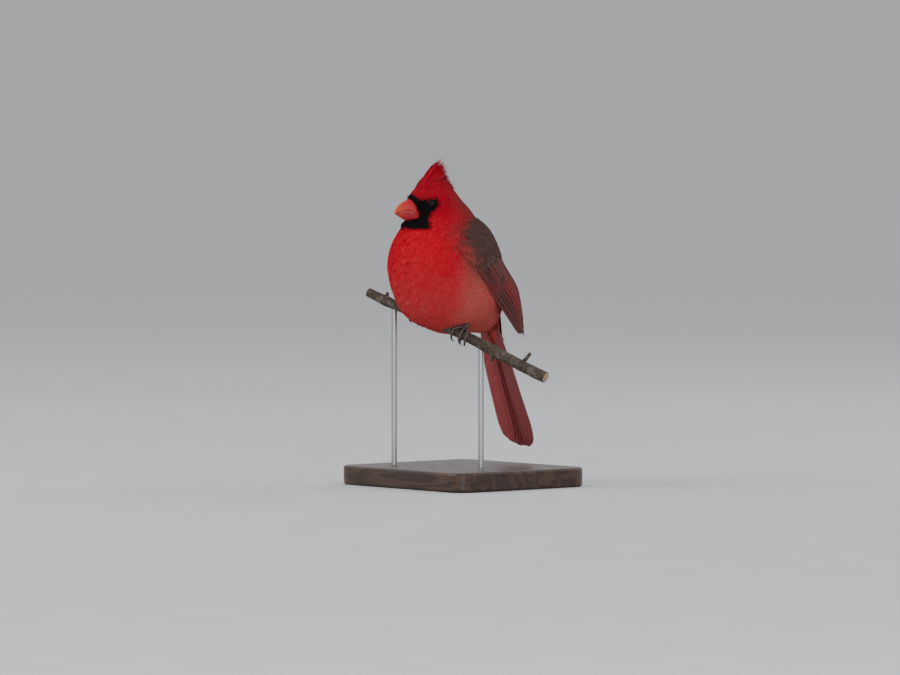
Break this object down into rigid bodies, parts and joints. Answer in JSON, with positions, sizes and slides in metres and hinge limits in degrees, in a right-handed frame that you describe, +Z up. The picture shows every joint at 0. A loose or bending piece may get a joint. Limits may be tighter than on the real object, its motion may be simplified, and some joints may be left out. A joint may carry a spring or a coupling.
{
  "type": "northern cardinal model",
  "caption": "Life-size still model of a perched, fluffed male northern cardinal with raised crest, on a cut branch held by a small wooden stand.",
  "frame": {"origin": "middle of the underside of the stand's base", "axes": "+Z up, -Y the way the bird's body faces, +X its left"},
  "size_m": [0.1418, 0.1229, 0.224],
  "materials": {
    "plumage": "soft feathers",
    "wing": "sleek feathers",
    "tail": "sleek feathers",
    "bill": "waxy horn",
    "eye": "wet gloss",
    "leg": "scaly skin",
    "claw": "dark horn",
    "bark": "rough bark",
    "base_wood": "satin",
    "rod_steel": "brushed"
  },
  "bodies": {
    "root": {"head": "plumage", "neck": "plumage", "torso": "plumage", "wing_left": "wing", "wing_right": "wing", "tail": "tail", "bill_upper": "bill", "bill_lower": "bill", "eye_left": "eye", "eye_right": "eye", "leg_left": "leg", "leg_right": "leg", "claw_left_1": "claw", "claw_left_2": "claw", "claw_left_3": "claw", "claw_left_4": "claw", "claw_right_1": "claw", "claw_right_2": "claw", "claw_right_3": "claw", "claw_right_4": "claw", "perch": "bark", "stand_base": "base_wood", "stand_rod_1": "rod_steel", "stand_rod_2": "rod_steel"}
  },
  "joints": []
}
